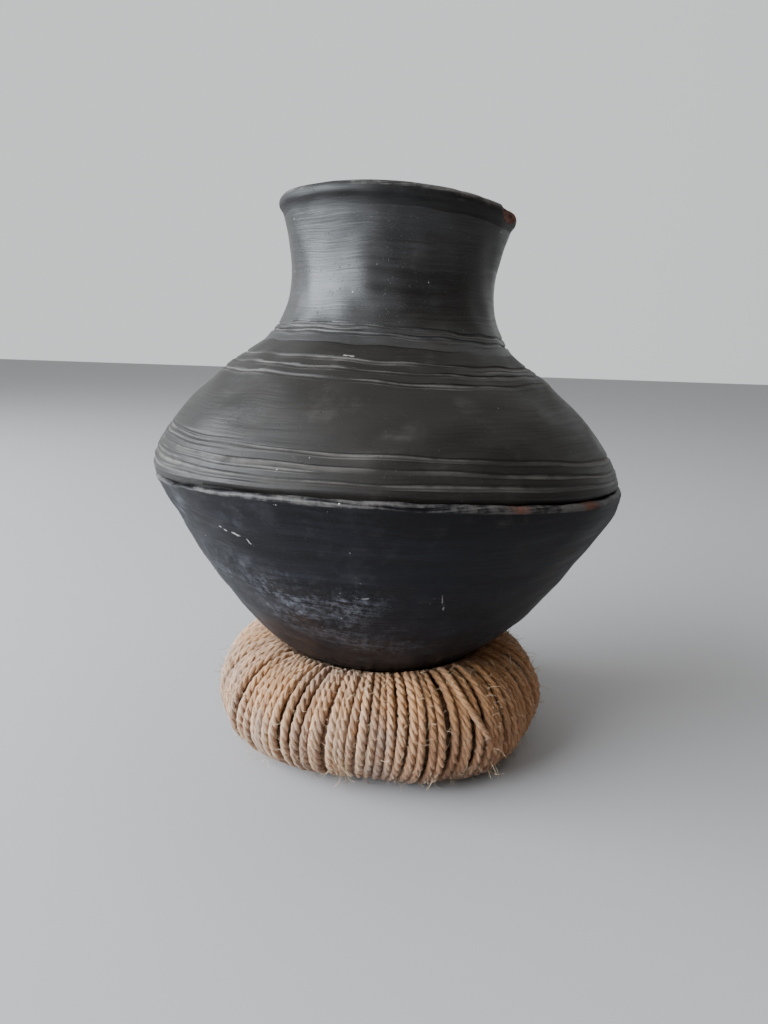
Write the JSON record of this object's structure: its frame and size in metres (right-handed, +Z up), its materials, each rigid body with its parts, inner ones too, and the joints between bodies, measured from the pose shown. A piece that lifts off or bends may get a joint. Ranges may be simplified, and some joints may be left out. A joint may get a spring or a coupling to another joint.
{
  "type": "clay pot on a rope ring",
  "caption": "Round-based black clay pot with a ledge round its belly, incised grooves and a flared neck, standing in a rope-wound ring.",
  "frame": {"origin": "on the surface the ring stands on, at the centre of the ring", "axes": "+Z up; -Y towards the viewer; +X to the viewer's right, the way the pot leans"},
  "size_m": [0.2299, 0.23, 0.2639],
  "materials": {
    "bowl_clay": "smoke-blackened clay, burnished with a stone in level strokes",
    "shoulder_clay": "smoke-blackened clay, dull burnish with dusty grooves",
    "neck_clay": "smoke-blackened clay, smooth satin burnish",
    "inside_clay": "unburnished clay, matt",
    "straw": "dry straw",
    "twine": "thin brown twine",
    "rope": "twisted plant-fibre rope with loose hairs",
    "pale_rope": "paler twisted plant-fibre rope"
  },
  "bodies": {
    "ring": {"straw_core": "straw", "core_ties": "twine", "rope_winding": "rope", "slant_strand": "pale_rope"},
    "pot": {"bowl": "bowl_clay", "seam_coil": "inside_clay", "shoulder": "shoulder_clay", "neck": "neck_clay", "lip_coil": "neck_clay"}
  },
  "joints": [
    {"name": "pot_lift", "type": "slide", "parent": "ring", "child": "pot", "axis": [0, 0, 1], "range_m": [0, 0.1]}
  ]
}
